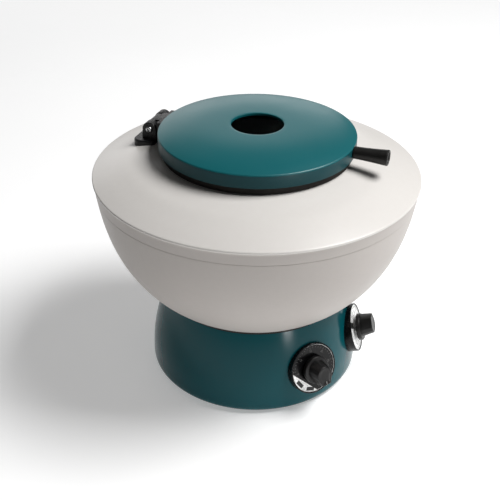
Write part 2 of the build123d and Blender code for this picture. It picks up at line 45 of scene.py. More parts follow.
def make_camera():
    right0 = Vector((math.cos(VIEW_AZ), math.sin(VIEW_AZ), 0))
    fwd0 = Vector((-math.sin(VIEW_AZ), math.cos(VIEW_AZ), 0))
    up0 = Vector((0, 0, 1))
    cp, sp = math.cos(PITCH), math.sin(PITCH)
    fwd = right0 * (math.sin(YAW) * cp) + fwd0 * (math.cos(YAW) * cp) - up0 * sp
    right = right0 * math.cos(YAW) - fwd0 * math.sin(YAW)
    up = right.cross(fwd)
    r2 = right * math.cos(ROLL) + up * math.sin(ROLL)
    u2 = -right * math.sin(ROLL) + up * math.cos(ROLL)
    cam = bpy.data.objects.new("camera", bpy.data.cameras.new("camera"))
    bpy.context.scene.collection.objects.link(cam)
    m = Matrix((r2, u2, -fwd)).transposed().to_4x4()
    m.translation = -fwd0 * DIST + up0 * HEIGHT
    cam.matrix_world = m
    cam.data.sensor_width = 36.0
    cam.data.lens = FOCAL_PX / 500.0 * 36.0
    cam.data.clip_end = 50
    bpy.context.scene.camera = cam
    return cam


camera = make_camera()
bpy.context.scene.view_settings.view_transform = "Standard"


# -------------------------------------------------------------- materials
def srgb(r, g, b):
    def f(c):
        c /= 255.0
        return c / 12.92 if c <= 0.04045 else ((c + 0.055) / 1.055) ** 2.4
    return (f(r), f(g), f(b), 1.0)


def lin(r, g, b):
    return (r, g, b, 1.0)


def scaled(c, k):
    return (min(c[0] * k, 1.0), min(c[1] * k, 1.0), min(c[2] * k, 1.0), 1.0)


class Mat:
    """A Principled material with procedural colour, roughness and relief."""

    def __init__(self, name, metallic=0.0, spec=0.5, coat=0.0, coat_rough=0.1, ior=1.5, aniso=0.0, sheen=0.0):
        self.m = bpy.data.materials.new(name)
        self.m.use_nodes = True
        self.t = self.m.node_tree
        self.n = self.t.nodes
        self.b = self.n["Principled BSDF"]
        self.b.inputs["Metallic"].default_value = metallic
        self.b.inputs["Specular IOR Level"].default_value = spec
        self.b.inputs["Coat Weight"].default_value = coat
        self.b.inputs["Coat Roughness"].default_value = coat_rough
        self.b.inputs["IOR"].default_value = ior
        self.b.inputs["Anisotropic"].default_value = aniso
        self.b.inputs["Sheen Weight"].default_value = sheen
        self.co = self.n.new("ShaderNodeTexCoord").outputs["Object"]
        self.h = None

    def link(self, a, b):
        self.t.links.new(a, b)

    def node(self, kind, **kw):
        n = self.n.new(kind)
        for k, v in kw.items():
            setattr(n, k, v)
        return n

    def noise(self, scale, detail=3.0, rough=0.5, stretch=None, distort=0.0):
        n = self.node("ShaderNodeTexNoise")
        n.inputs["Scale"].default_value = scale
        n.inputs["Detail"].default_value = detail
        n.inputs["Roughness"].default_value = rough
        n.inputs["Distortion"].default_value = distort
        src = self.co
        if stretch:
            mp = self.node("ShaderNodeMapping")
            mp.inputs["Scale"].default_value = stretch
            self.link(src, mp.inputs["Vector"])
            src = mp.outputs["Vector"]
        self.link(src, n.inputs["Vector"])
        return n.outputs["Fac"]

    def voronoi(self, scale, feature="F1"):
        n = self.node("ShaderNodeTexVoronoi", feature=feature)
        n.inputs["Scale"].default_value = scale
        self.link(self.co, n.inputs["Vector"])
        return n.outputs["Distance"]

    def ramp(self, fac, stops):
        r = self.node("ShaderNodeValToRGB")
        e = r.color_ramp.elements
        while len(e) < len(stops):
            e.new(0.5)
        for el, (p, c) in zip(e, stops):
            el.position = p
            el.color = c
        self.link(fac, r.inputs["Fac"])
        return r.outputs["Color"]

    def span(self, fac, a, b, lo=0.3, hi=0.7):
        r = self.node("ShaderNodeMapRange")
        r.inputs["From Min"].default_value = lo
        r.inputs["From Max"].default_value = hi
        r.inputs["To Min"].default_value = a
        r.inputs["To Max"].default_value = b
        self.link(fac, r.inputs["Value"])
        return r.outputs["Result"]

    def colour(self, out):
        self.link(out, self.b.inputs["Base Color"])
        return self

    def rough(self, out):
        self.link(out, self.b.inputs["Roughness"])
        return self

    def bump(self, fac, height, strength=1.0):
        n = self.node("ShaderNodeBump")
        n.inputs["Strength"].default_value = strength
        n.inputs["Distance"].default_value = height
        self.link(fac, n.inputs["Height"])
        if self.h is not None:
            self.link(self.h, n.inputs["Normal"])
        self.h = n.outputs["Normal"]
        self.link(self.h, self.b.inputs["Normal"])
        return self

    def mix(self, fac, a, b):
        n = self.node("ShaderNodeMix", data_type="RGBA")
        self.link(fac, n.inputs[0])
        for sock, v in ((n.inputs[6], a), (n.inputs[7], b)):
            if isinstance(v, tuple):
                sock.default_value = v
            else:
                self.link(v, sock)
        return n.outputs[2]


def paint(name, col, lo_r, hi_r, peel=900.0, peel_h=0.00003, coat=0.0, spec=0.5, shade=0.05, dust_amount=0.05):
    m = Mat(name, coat=coat, coat_rough=0.13, spec=spec)
    big = m.noise(9.0, 2.0)
    fine = m.noise(160.0, 4.0)
    c = m.ramp(big, [(0.15, scaled(col, 1.0 - shade)), (0.85, scaled(col, 1.0 + shade))])
    dust = m.span(fine, 0.0, dust_amount, 0.3, 0.9)
    m.colour(m.mix(dust, c, scaled(col, 1.6)))
    m.rough(m.span(m.noise(26.0, 3.0), lo_r, hi_r, 0.15, 0.85))
    m.bump(m.noise(peel, 2.0), peel_h, 0.35)
    return m.m


def plastic(name, col, lo_r, hi_r, grain=1400.0, depth=0.00004, spec=0.5, coat=0.0):
    m = Mat(name, spec=spec, coat=coat, coat_rough=0.15)
    m.colour(m.ramp(m.noise(60.0, 3.0), [(0.3, scaled(col, 0.88)), (0.7, scaled(col, 1.14))]))
    m.rough(m.span(m.noise(300.0, 3.0), lo_r, hi_r))
    m.bump(m.voronoi(grain), depth, 0.6)
    return m.m


def metal(name, col, lo_r, hi_r, stretch=None, scale=400.0, depth=0.00001, aniso=0.0):
    m = Mat(name, metallic=1.0, aniso=aniso)
    m.colour(m.ramp(m.noise(45.0, 3.0), [(0.3, scaled(col, 0.92)), (0.7, scaled(col, 1.05))]))
    f = m.noise(scale, 4.0, 0.6, stretch)
    m.rough(m.span(f, lo_r, hi_r))
    m.bump(f, depth, 0.4)
    return m.m


TEAL = lin(0.0035, 0.112, 0.142)
M = {}
M["lid"] = paint("lid_paint", lin(0.0026, 0.105, 0.119), 0.30, 0.38, peel=700.0, peel_h=0.00004, spec=0.50, dust_amount=0.03)
# The base's teal is the lid paint made darker: painted shade under the bowl.
M["teal_shaded"] = paint("base_shaded_paint", lin(0.0012, 0.069, 0.083), 0.15, 0.20, peel=260.0, peel_h=0.00001, spec=0.18, shade=0.05, dust_amount=0.0)
# A darker copy of the lid paint: painted shade for the lid's side skirt.
M["lid_edge"] = paint("lid_edge_paint", lin(0.0016, 0.050, 0.060), 0.34, 0.42, peel=700.0, peel_h=0.00004, spec=0.25, dust_amount=0.03)
M["cover"] = paint("cover_paint", lin(0.675, 0.648, 0.618), 0.28, 0.35, shade=0.012, spec=0.5)
# The bowl paint is a darker copy of the cover's white: painted shade on the lower, upright body.
M["bowl"] = paint("bowl_shaded_paint", lin(0.490, 0.456, 0.430), 0.40, 0.50, shade=0.015, spec=0.35)
M["rubber"] = plastic("seal_rubber", lin(0.014, 0.012, 0.010), 0.62, 0.78, grain=900.0, spec=0.25)
M["handle"] = plastic("handle_plastic", lin(0.008, 0.0075, 0.007), 0.36, 0.46, grain=1600.0, spec=0.4)
M["knob"] = plastic("knob_plastic", lin(0.0055, 0.0053, 0.0053), 0.30, 0.40, grain=1800.0, depth=0.00003, spec=0.34)
M["cup"] = plastic("cup_plastic", lin(0.0040, 0.0040, 0.0045), 0.22, 0.30, grain=1200.0, depth=0.00001, spec=0.22)
M["inlet"] = plastic("inlet_plastic", lin(0.015, 0.015, 0.015), 0.45, 0.55)
M["zinc"] = metal("zinc_steel", lin(0.72, 0.73, 0.74), 0.22, 0.34)
M["steel"] = metal("ground_steel", lin(0.62, 0.62, 0.63), 0.16, 0.28, stretch=(1, 1, 30))
M["alloy"] = metal("rotor_alloy", lin(0.74, 0.75, 0.76), 0.28, 0.40, scale=500.0)
M["shield"] = metal("shield_alloy", lin(0.78, 0.79, 0.80), 0.24, 0.36, stretch=(1, 1, 18), scale=180.0)
M["cast"] = metal("cast_alloy", lin(0.50, 0.50, 0.51), 0.45, 0.60, scale=700.0, depth=0.0001)
M["liner"] = metal("liner_steel", lin(0.60, 0.61, 0.62), 0.30, 0.42, stretch=(1, 1, 14), scale=90.0, depth=0.000006)
M["black_paint"] = paint("black_paint", lin(0.020, 0.020, 0.021), 0.42, 0.55, shade=0.1)
M["motor_paint"] = paint("motor_paint", lin(0.045, 0.050, 0.055), 0.38, 0.50, shade=0.08)
M["copper"] = metal("winding_wire", lin(0.55, 0.19, 0.07), 0.30, 0.45, stretch=(1, 1, 1), scale=900.0, depth=0.0002)
M["commutator"] = metal("turned_copper", lin(0.80, 0.40, 0.24), 0.20, 0.34, stretch=(1, 1, 40))
M["brass"] = metal("turned_brass", lin(0.72, 0.50, 0.20), 0.22, 0.36)
M["lam"] = metal("lamination_steel", lin(0.20, 0.20, 0.21), 0.40, 0.55, stretch=(1, 1, 60), scale=60.0, depth=0.0001)
M["carbon"] = plastic("carbon", lin(0.03, 0.03, 0.03), 0.50, 0.62)
M["board"] = plastic("circuit_board", lin(0.012, 0.10, 0.035), 0.32, 0.45)
M["fan"] = plastic("fan_plastic", lin(0.42, 0.42, 0.38), 0.45, 0.55)


def hinge_material():
    m = Mat("hinge_paint", spec=0.42)
    m.colour(m.ramp(m.voronoi(850.0), [(0.10, lin(0.016, 0.016, 0.018)), (0.55, lin(0.0035, 0.0035, 0.004))]))
    m.rough(m.span(m.noise(500.0, 3.0), 0.26, 0.40))
    m.bump(m.voronoi(850.0), 0.00035, 0.9)
    return m.m


M["hinge"] = hinge_material()



def dial_metal(name, col):
    m = Mat(name, metallic=0.25, aniso=0.0)
    f = m.noise(300.0, 3.0, 0.6)
    m.colour(m.ramp(f, [(0.3, scaled(col, 0.93)), (0.7, scaled(col, 1.0))]))
    m.rough(m.span(f, 0.22, 0.34))
    return m.m


M["dial_white"] = dial_metal("dial_plate_bright", lin(0.90, 0.90, 0.89))
# Glossy black for the timer plate's dark field, a painted reflection.
M["dial_black"] = plastic("dial_plate_painted_reflection", lin(0.0038, 0.0038, 0.0042), 0.13, 0.20, depth=0.000005, spec=0.26)
M["print_black"] = plastic("dial_print", lin(0.010, 0.010, 0.010), 0.45, 0.55, depth=0.000005)
M["print_grey"] = plastic("dial_print_grey", lin(0.22, 0.22, 0.215), 0.45, 0.55, depth=0.000005)
M["print_dim"] = plastic("dial_print_dim", lin(0.075, 0.075, 0.073), 0.35, 0.45, depth=0.000005)
M["print_white"] = plastic("dial_print_white", lin(0.75, 0.75, 0.74), 0.40, 0.50, depth=0.000005)


def use(obj, mat):
    obj.data.materials.clear()
    obj.data.materials.append(mat)


CARRIED = {
    "bottom_plate": "black_paint", "rubber_feet": "rubber", "foot_screws": "zinc", "floor_bolts": "zinc",
    "guard_bowl": "liner", "shaft_gland": "rubber", "motor_plate": "black_paint", "motor_dampers": "rubber", "motor_screws": "zinc",
    "motor_can": "motor_paint", "motor_top_bell": "cast", "motor_bottom_bell": "cast", "field_laminations": "lam",
    "field_coils": "copper", "brush_holders": "brass", "carbon_brushes": "carbon", "motor_bearings": "steel",
    "hinge_base_leaf": "hinge", "hinge_pin": "zinc", "hinge_base_screws": "zinc", "speed_dial_cup": "cup", "timer_dial_cup": "cup",
    "speed_dial_plate": "dial_white", "timer_dial_plate": "dial_white", "speed_regulator": "inlet", "timer_movement": "inlet",
    "dial_nuts": "zinc", "mains_inlet": "inlet", "inlet_blades": "zinc", "fuse_holder": "inlet", "control_board": "board", "heat_sink": "cast",
    "lid_handle": "handle", "handle_stud": "zinc", "hinge_lid_leaf": "hinge", "hinge_lid_screws": "zinc",
    "motor_shaft": "steel", "armature_core": "lam", "armature_windings": "copper", "commutator": "commutator",
    "cooling_fan": "fan", "rotor_yoke": "alloy", "rotor_nut": "zinc", "speed_spindle": "brass", "timer_spindle": "brass",
    "speed_knob": "knob", "timer_knob": "knob", "base_housing": "teal_shaded", "bowl": "bowl", "top_cover": "cover", "rim_seal": "rubber", "lid": "lid",
}
for i in range(1, 5):
    CARRIED[f"trunnion_ring_{i}"] = "zinc"
    CARRIED[f"tube_shield_{i}"] = "shield"
for name, obj in NODES.items():
    use(obj, M[CARRIED[name]])


def smooth_by_angle(obj, deg=32.0):
    """Smooth shading with sharp edges kept, as a modifier-free mesh setting on new meshes."""
    me = obj.data
    bm = bmesh.new()
    bm.from_mesh(me)
    for f in bm.faces:
        f.smooth = True
    for e in bm.edges:
        if len(e.link_faces) == 2:
            e.smooth = e.calc_face_angle(0.0) < math.radians(deg)
    bm.to_mesh(me)
    bm.free()


# ---------------------------------------------------------------- geometry
def spline(pts, per=10):
    """Natural cubic through the points, sampled. Matches a fair curve drawn through them."""
    n = len(pts)
    t = [0.0]
    for a, b in zip(pts, pts[1:]):
        t.append(t[-1] + math.dist(a, b))
    out = []
    cols = []
    for k in (0, 1):
        y = [p[k] for p in pts]
        h = [t[i + 1] - t[i] for i in range(n - 1)]
        al = [0.0] + [3 / h[i] * (y[i + 1] - y[i]) - 3 / h[i - 1] * (y[i] - y[i - 1]) for i in range(1, n - 1)]
        l, mu, z = [1.0], [0.0], [0.0]
        for i in range(1, n - 1):
            l.append(2 * (t[i + 1] - t[i - 1]) - h[i - 1] * mu[i - 1])
            mu.append(h[i] / l[i])
            z.append((al[i] - h[i - 1] * z[i - 1]) / l[i])
        c = [0.0] * n
        b = [0.0] * n
        d = [0.0] * n
        for j in range(n - 2, -1, -1):
            c[j] = z[j] - mu[j] * c[j + 1]
            b[j] = (y[j + 1] - y[j]) / h[j] - h[j] * (c[j + 1] + 2 * c[j]) / 3
            d[j] = (c[j + 1] - c[j]) / (3 * h[j])
        cols.append((y, b, c, d))
    for i in range(n - 1):
        for s in range(per):
            u = (t[i + 1] - t[i]) * s / per
            out.append(tuple(y[i] + b[i] * u + c[i] * u * u + d[i] * u ** 3 for y, b, c, d in cols))
    out.append(tuple(pts[-1]))
    return out


def rounded(pts, radii, steps=5):
    """Closed outline with its corners rounded. radii: {index: radius}."""
    n = len(pts)
    out = []
    for i, p in enumerate(pts):
        r = radii.get(i, 0)
        if not r:
            out.append(p)
            continue
        p = Vector(p)
        a, b = Vector(pts[i - 1]) - p, Vector(pts[(i + 1) % n]) - p
        la, lb = a.length, b.length
        a.normalize(); b.normalize()
        ang = a.angle(b)
        cut = min(r / math.tan(ang / 2), la * 0.49, lb * 0.49)
        rr = cut * math.tan(ang / 2)
        c = p + (a + b).normalized() * (rr / math.sin(ang / 2))
        s, e = p + a * cut - c, p + b * cut - c
        tot = s.angle(e)
        sgn = 1 if s.x * e.y - s.y * e.x > 0 else -1
        for k in range(steps + 1):
            t = sgn * tot * k / steps
            out.append((c.x + s.x * math.cos(t) - s.y * math.sin(t), c.y + s.x * math.sin(t) + s.y * math.cos(t)))
    return out


def mesh_obj(name, bm, mat, deg=32.0, place=None):
    bmesh.ops.recalc_face_normals(bm, faces=bm.faces)
    me = bpy.data.meshes.new(name)
    bm.to_mesh(me)
    bm.free()
    ob = bpy.data.objects.new(name, me)
    bpy.context.scene.collection.objects.link(ob)
    me.materials.append(mat)
    smooth_by_angle(ob, deg)
    if place is not None:
        ob.matrix_world = place
    return ob


def revolve(bm, profile, segs=192, closed=True, mat_index=0):
    """Rings round Z from an outline in mm (r, z)."""
    rings = []
    for r, z in profile:
        if r < 1e-6:
            rings.append([bm.verts.new((0, 0, z * MM))])
        else:
            rings.append([bm.verts.new((r * MM * math.cos(2 * math.pi * k / segs), r * MM * math.sin(2 * math.pi * k / segs), z * MM)) for k in range(segs)])
    pairs = list(zip(rings, rings[1:])) + ([(rings[-1], rings[0])] if closed else [])
    for a, b in pairs:
        for k in range(segs):
            k2 = (k + 1) % segs
            if len(a) == 1 and len(b) == 1:
                continue
            if len(a) == 1:
                f = bm.faces.new((a[0], b[k], b[k2]))
            elif len(b) == 1:
                f = bm.faces.new((a[k], b[0], a[k2]))
            else:
                f = bm.faces.new((a[k], b[k], b[k2], a[k2]))
            f.material_index = mat_index
    return rings


def offset_in(pts, d):
    out = []
    for i, (r, z) in enumerate(pts):
        a = pts[max(i - 1, 0)]
        b = pts[min(i + 1, len(pts) - 1)]
        tx, tz = b[0] - a[0], b[1] - a[1]
        n = math.hypot(tx, tz)
        out.append((r + tz / n * d, z - tx / n * d))
    return out


def turned_obj(name, profile, mat, segs=192, deg=32.0, place=None, closed=True):
    bm = bmesh.new()
    revolve(bm, profile, segs, closed)
    return mesh_obj(name, bm, mat, deg, place)


def done(piece, body, slot, *nodes):
    piece_body = body
    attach(piece, piece_body)
    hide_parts(*nodes)
    return piece


# The bowl, its cover and the lid are turned shells, remade with a fine mesh and
# the small rounded edges that the painted pieces have.
bowl_outer = [(94.8, 91.0), (105.5, 99.5), (117.0, 110.5), (131.0, 128.5), (142.0, 148.5), (150.6, 172.5), (155.8, 196.0), (157.4, 206.6)]
bowl_inner = offset_in(bowl_outer, -4.0)
bowl_inner[0] = (92.2, 95.0)
bowl_inner[-1] = (151.4, 206.6)
prof = [(26.0, 91.0), (93.4, 91.0)] + spline(bowl_outer)[1:] + [(157.42, 207.1), (157.2, 207.3), (155.1, 207.3), (155.1, 218.0), (151.4, 218.0)] + \
    spline(bowl_inner)[::-1] + [(26.0, 95.0)]
bowl = turned_obj("bowl_shell", prof, M["bowl"], 256)
done(bowl, "housing", "white_body", "bowl")

RIM_R, RIM_Z = 160.0, 222.0
slope = [(159.0, 222.0), (148.0, 226.3), (134.0, 231.2), (123.0, 234.6), (116.0, 236.2), (106.0, 238.3), (93.4, 240.2)]
under = offset_in(slope, -3.5)
under[0] = (155.1, 218.6)
under[-1] = (89.4, 237.0)
prof = [(157.35, 207.42), (157.62, 207.62), (157.75, 208.2)] + [(158.4, 217.2), (158.9, 218.9), (159.6, 219.6), (159.96, 220.4), (159.9, 221.2), (159.5, 221.75)] + spline(slope) + \
    [(89.4, 240.2), (89.4, 247.0), (86.0, 247.0), (86.0, 237.0), (89.4, 237.0)] + spline(under)[::-1][1:] + [(155.1, 207.4)]
cover = turned_obj("cover_shell", prof, M["cover"], 256)
# The upright skirt below the rim gets the bowl's darker copy of the white paint, painted shade on the upright faces;
# the top face keeps the lighter cover paint.
cover.data.materials.append(M["bowl"])
for f in cover.data.polygons:
    c = f.center
    if c.z < 0.2192 and math.hypot(c.x, c.y) > 0.1565:
        f.material_index = 1
done(cover, "housing", "white_cover", "top_cover")

# Rubber ring over the cover's neck, with a fine lip.
prof = rounded([(92.3, 240.5), (92.3, 251.2), (83.2, 251.2), (83.2, 238.0), (86.0, 238.0), (86.0, 247.0), (89.4, 247.0), (89.4, 240.5)],
               {0: 0.5, 1: 1.4, 2: 1.4, 3: 0.6}, 5)
seal = turned_obj("seal_ring", prof, M["rubber"], 224)
done(seal, "housing", "black_rubber", "rim_seal")

# Drawn steel liner of the chamber, with a rolled lip.
liner_out = [(87.0, 98.6), (99.5, 104.4), (111.0, 114.6), (124.2, 131.4), (135.0, 150.5), (143.6, 174.0), (148.6, 198.0), (149.2, 214.0)]
liner_in = offset_in(liner_out, -1.2)
liner_in[0] = (86.6, 99.8)
liner_in[-1] = (148.0, 214.0)
prof = [(24.5, 98.6)] + spline(liner_out) + [(148.6, 214.25)] + spline(liner_in)[::-1] + [(24.5, 99.8)]
liner = turned_obj("chamber_liner", prof, M["liner"], 224)
done(liner, "housing", "liner_steel", "guard_bowl")

LID_R, LID_TOP_Z, LID_SKIRT_Z, LID_WALL, VENT_R = 95.6, 268.4, 247.6, 2.6, 25.4
lid_top = [(LID_R - 0.9, 261.0), (88.0, 262.9), (78.0, 265.0), (64.0, 267.0), (48.0, 268.1), (VENT_R + 0.6, LID_TOP_Z)]
lid_under = offset_in(lid_top, -LID_WALL)
lid_under[0] = (LID_R - LID_WALL - 0.4, 258.8)
lid_under[-1] = (VENT_R, LID_TOP_Z - LID_WALL)
edge = [(LID_R - LID_WALL, LID_SKIRT_Z + 0.3), (LID_R - LID_WALL + 0.3, LID_SKIRT_Z), (LID_R - 0.4, LID_SKIRT_Z), (LID_R - 0.1, LID_SKIRT_Z + 0.2), (LID_R, LID_SKIRT_Z + 0.6)]
edge += [(LID_R, 259.3), (LID_R - 0.05, 259.8), (LID_R - 0.22, 260.35), (LID_R - 0.5, 260.75)]
prof = edge + spline(lid_top) + [(VENT_R + 0.25, LID_TOP_Z - 0.1), (VENT_R + 0.05, LID_TOP_Z - 0.35), (VENT_R, LID_TOP_Z - 0.7), (VENT_R, LID_TOP_Z - LID_WALL + 0.2), (VENT_R + 0.2, LID_TOP_Z - LID_WALL)] + \
    spline(lid_under)[::-1][1:]
bm = bmesh.new()
revolve(bm, prof, 256)
# Locating rib inside the lid.
top = spline(lid_under)
rib = [(88.8, 251.6), (88.8, 260.4), (86.4, 260.9), (86.4, 251.6)]
revolve(bm, rounded(rib, {0: 0.5, 3: 0.5}, 3), 192)
lid = mesh_obj("lid_shell", bm, M["lid"])
# The skirt faces take the darker copy of the lid paint: painted shade on the lid's side.
lid.data.materials.append(M["lid_edge"])
for f in lid.data.polygons:
    c = f.center
    if c.z < 0.2598 and math.hypot(c.x, c.y) > 0.0942:
        f.material_index = 1
done(lid, "lid", "lid_paint", "lid")

# Moulded black handle, flared towards its end, with a rolled lip and a hollow in its end face.
prof = [(2.5, 0.0), (5.3, 0.0), (5.65, 0.25), (5.8, 0.8), (5.85, 2.0), (5.9, 5.0), (6.1, 10.0), (6.45, 17.0), (6.9, 24.0), (7.3, 29.0), (7.5, 31.4), (7.55, 32.3), (7.4, 33.0), (6.9, 33.35), (6.2, 33.4),
        (5.6, 33.2), (5.2, 32.6), (4.9, 32.2), (4.0, 32.0), (0.0, 31.9), (0.0, 20.0), (2.5, 20.0)]
handle_at = Matrix.Translation((0, -LID_R * MM, 0.2552)) @ Matrix.Rotation(math.radians(90), 4, "X")
handle = turned_obj("handle_grip", prof, M["handle"], 96, place=handle_at)
done(handle, "lid", "black_plastic", "lid_handle")




def refined(node, name, body, slot, mat, width=0.4, segs=2, deg=30.0, shade=35.0):
    """Copy of a CAD node's mesh with its hard edges rounded, standing for that node."""
    src = NODES[node]
    bm = bmesh.new()
    bm.from_mesh(src.data)
    bmesh.ops.remove_doubles(bm, verts=bm.verts, dist=0.000002)
    bmesh.ops.dissolve_limit(bm, angle_limit=math.radians(1.0), verts=bm.verts, edges=bm.edges)
    me = bpy.data.meshes.new(name)
    bm.to_mesh(me)
    bm.free()
    ob = bpy.data.objects.new(name, me)
    bpy.context.scene.collection.objects.link(ob)
    md = ob.modifiers.new("edges", "BEVEL")
    md.width = width * MM
    md.segments = segs
    md.limit_method = "ANGLE"
    md.angle_limit = math.radians(deg)
    md.use_clamp_overlap = True
    bpy.context.view_layer.update()
    dg = bpy.context.evaluated_depsgraph_get()
    new = bpy.data.meshes.new_from_object(ob.evaluated_get(dg))
    ob.modifiers.clear()
    ob.data = new
    new.materials.clear()
    new.materials.append(mat)
    smooth_by_angle(ob, shade)
    done(ob, body, slot, node)
    return ob


refined("hinge_base_leaf", "hinge_base", "housing", "hinge_black", M["hinge"], 0.55, 3)
refined("hinge_lid_leaf", "hinge_lid_arm", "lid", "hinge_black", M["hinge"], 0.55, 3)
refined("rotor_yoke", "rotor_head", "rotor", "rotor_alloy", M["alloy"], 0.5, 2)
for k in ("speed", "timer"):
    refined(f"{k}_dial_cup", f"{k}_cup", "housing", "cup_plastic", M["cup"], 0.35, 3)
refined("mains_inlet", "inlet_body", "housing", "black_plastic", M["inlet"], 0.3, 2)
refined("fuse_holder", "fuse_cap", "housing", "black_plastic", M["inlet"], 0.35, 2)

# Hinge pin with a domed, socketed head and a riveted far end.
prof = [(0.0, -18.4), (1.45, -18.4), (1.45, -19.55), (1.6, -19.8), (2.2, -19.98), (2.8, -19.75), (3.15, -19.3), (3.25, -18.8), (3.25, -18.25), (2.5, -18.2),
        (2.5, 18.2), (3.1, 18.25), (3.1, 18.9), (2.8, 19.3), (2.0, 19.55), (0.0, 19.6)]
pin_at = Matrix.Translation((0, 0.1065, 0.252)) @ Matrix.Rotation(math.radians(90), 4, "Y")
pin = turned_obj("hinge_pin_body", prof, M["zinc"], 48, place=pin_at)
done(pin, "housing", "zinc_steel", "hinge_pin")

# Thin black ring in the joint between the base and the bowl, making the dark line along the joint.
prof = rounded([(92.0, 89.3), (95.3, 89.3), (95.7, 91.6), (92.0, 91.6)], {1: 0.4, 2: 0.4}, 3)
gasket = turned_obj("base_joint_ring", prof, M["rubber"], 224)
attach(gasket, "housing")


# ------------------------------------------------------------------ dials
DIALS = {"timer": (-36.8, 109.4, 46.4, 26.2), "speed": (7.0, 110.5, 49.0, 25.2)}
TILT = math.radians(16.3)


def dial_matrix(kind):
    deg, rc, z, _ = DIALS[kind]
    az = math.radians(deg)
    n = Vector((math.sin(az) * math.cos(TILT), -math.cos(az) * math.cos(TILT), math.sin(TILT)))
    e1 = Vector((math.cos(az), math.sin(az), 0))
    e2 = n.cross(e1)
    m = Matrix((e1, e2, n)).transposed().to_4x4()
    m.translation = Vector((rc * math.sin(az), -rc * math.cos(az), z)) * MM
    return m


def arc_block(bm, r0, r1, a0, a1, z0, z1, steps=None, idx=0):
    """Flat printed block between two radii and two angles (degrees)."""
    steps = steps or max(2, int(abs(a1 - a0) / 2.5))
    lo, hi = [], []
    for k in range(steps + 1):
        t = math.radians(a0 + (a1 - a0) * k / steps)
        lo.append((r0 * math.cos(t), r0 * math.sin(t)))
        hi.append((r1 * math.cos(t), r1 * math.sin(t)))
    return prism(bm, lo + hi[::-1], z0, z1, idx)


def prism(bm, outline, z0, z1, idx=0):
    """Straight-sided solid from a flat outline in mm."""
    bot = [bm.verts.new((x * MM, y * MM, z0 * MM)) for x, y in outline]
    top = [bm.verts.new((x * MM, y * MM, z1 * MM)) for x, y in outline]
    fs = [bm.faces.new(bot[::-1]), bm.faces.new(top)]
    n = len(outline)
    for k in range(n):
        fs.append(bm.faces.new((bot[k], bot[(k + 1) % n], top[(k + 1) % n], top[k])))
    for f in fs:
        f.material_index = idx
    return fs


def bar(bm, x, y, w, h, ang, z0, z1, idx=0):
    t = math.radians(ang)
    c, s = math.cos(t), math.sin(t)
    pts = []
    for u, v in ((-w / 2, -h / 2), (w / 2, -h / 2), (w / 2, h / 2), (-w / 2, h / 2)):
        pts.append((x + u * c - v * s, y + u * s + v * c))
    return prism(bm, pts, z0, z1, idx)


def numeral(text, size, x, y, ang, z, mat, place, name):
    """A plain numeral as thin print on a dial."""
    cu = bpy.data.curves.new(name, "FONT")
    cu.body = text
    cu.size = size * MM
    cu.align_x = "CENTER"
    cu.align_y = "CENTER"
    cu.extrude = 0.00001
    cu.resolution_u = 3
    ob = bpy.data.objects.new(name + "_c", cu)
    bpy.context.scene.collection.objects.link(ob)
    dg = bpy.context.evaluated_depsgraph_get()
    me = bpy.data.meshes.new_from_object(ob.evaluated_get(dg))
    bpy.data.objects.remove(ob)
    loc = Matrix.Translation((x * MM, y * MM, z * MM)) @ Matrix.Rotation(math.radians(ang), 4, "Z")
    me.transform(loc)
    out = bpy.data.objects.new(name, me)
    bpy.context.scene.collection.objects.link(out)
    me.materials.clear()
    me.materials.append(mat)
    out.matrix_world = place
    return out


def join(obs):
    """Joins meshes that share one placing into the first."""
    first = obs[0]
    bm = bmesh.new()
    mats = []
    for ob in obs:
        base = []
        for s in ob.data.materials:
            if s not in mats:
                mats.append(s)
            base.append(mats.index(s))
        n0 = len(bm.faces)
        bm.from_mesh(ob.data)
        bm.faces.ensure_lookup_table()
        for f in bm.faces[n0:]:
            f.material_index = base[min(f.material_index, len(base) - 1)]
    name = first.name
    place = first.matrix_world.copy()
    me = bpy.data.meshes.new(name)
    bm.to_mesh(me)
    bm.free()
    for m_ in mats:
        me.materials.append(m_)
    first.data = me
    for ob in obs[1:]:
        bpy.data.objects.remove(ob)
    first.matrix_world = place
    return first


